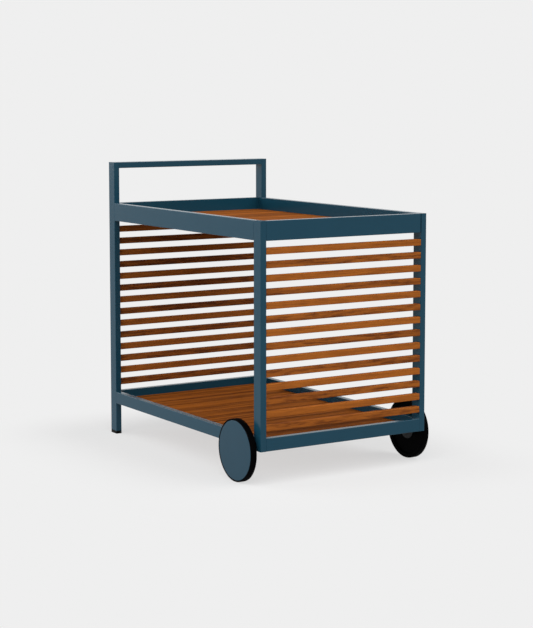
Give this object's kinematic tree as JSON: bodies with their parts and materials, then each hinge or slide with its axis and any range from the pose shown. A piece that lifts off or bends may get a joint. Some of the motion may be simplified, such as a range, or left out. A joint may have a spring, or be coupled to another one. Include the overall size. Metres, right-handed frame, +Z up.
{
  "type": "cheese trolley",
  "caption": "Two-wheeled serving trolley: tube frame with a recessed boarded tray, boarded shelf, slatted ends, handle bar and rear feet.",
  "frame": {"origin": "on the floor, in the middle of the frame's width and length", "axes": "+X to the trolley's right side, +Y towards the handle end, +Z up; the wheels are at the -Y end"},
  "size_m": [0.668, 0.986, 0.942],
  "materials": {
    "frame_paint": "fine matt powder coat, petrol blue",
    "slat_wood": "oiled hardwood, grain along the slat",
    "board_wood": "oiled hardwood, grain across the trolley",
    "steel": "bright zinc",
    "black_plastic": "fine grained",
    "tyre_rubber": "matt, smooth tread",
    "core_plastic": "fine grained",
    "cap_paint": "fine matt powder coat, petrol blue",
    "hub_metal": "matt dark grey"
  },
  "bodies": {
    "frame": {"front_left_post": "frame_paint", "front_right_post": "frame_paint", "rear_left_post": "frame_paint", "rear_right_post": "frame_paint", "handle_bar": "frame_paint", "rim_front": "frame_paint", "rim_rear": "frame_paint", "rim_left": "frame_paint", "rim_right": "frame_paint", "low_rail_front": "frame_paint", "low_rail_rear": "frame_paint", "low_rail_left": "frame_paint", "low_rail_right": "frame_paint", "front_slat_1": "slat_wood", "front_slat_2": "slat_wood", "front_slat_3": "slat_wood", "front_slat_4": "slat_wood", "front_slat_5": "slat_wood", "front_slat_6": "slat_wood", "front_slat_7": "slat_wood", "front_slat_8": "slat_wood", "front_slat_9": "slat_wood", "front_slat_10": "slat_wood", "front_slat_11": "slat_wood", "front_slat_12": "slat_wood", "front_slat_13": "slat_wood", "front_slat_14": "slat_wood", "rear_slat_1": "slat_wood", "rear_slat_2": "slat_wood", "rear_slat_3": "slat_wood", "rear_slat_4": "slat_wood", "rear_slat_5": "slat_wood", "rear_slat_6": "slat_wood", "rear_slat_7": "slat_wood", "rear_slat_8": "slat_wood", "rear_slat_9": "slat_wood", "rear_slat_10": "slat_wood", "rear_slat_11": "slat_wood", "rear_slat_12": "slat_wood", "rear_slat_13": "slat_wood", "rear_slat_14": "slat_wood", "slat_pins": "steel", "tray_boards": "board_wood", "tray_ledges": "frame_paint", "shelf_boards": "board_wood", "shelf_ledges": "frame_paint", "axle": "steel", "axle_brackets": "frame_paint", "axle_clips": "steel", "rear_feet": "black_plastic", "front_post_plugs": "black_plastic"},
    "left_wheel": {"left_tyre": "tyre_rubber", "left_wheel_core": "core_plastic", "left_wheel_cap": "cap_paint", "left_hub": "hub_metal"},
    "right_wheel": {"right_tyre": "tyre_rubber", "right_wheel_core": "core_plastic", "right_wheel_cap": "cap_paint", "right_hub": "hub_metal"}
  },
  "joints": [
    {"name": "left_wheel_spin", "type": "hinge", "parent": "frame", "child": "left_wheel", "pos_m": [-0.324, -0.385, 0.097], "axis": [1, 0, 0], "continuous": true},
    {"name": "right_wheel_spin", "type": "hinge", "parent": "frame", "child": "right_wheel", "pos_m": [0.324, -0.385, 0.097], "axis": [1, 0, 0], "continuous": true}
  ]
}
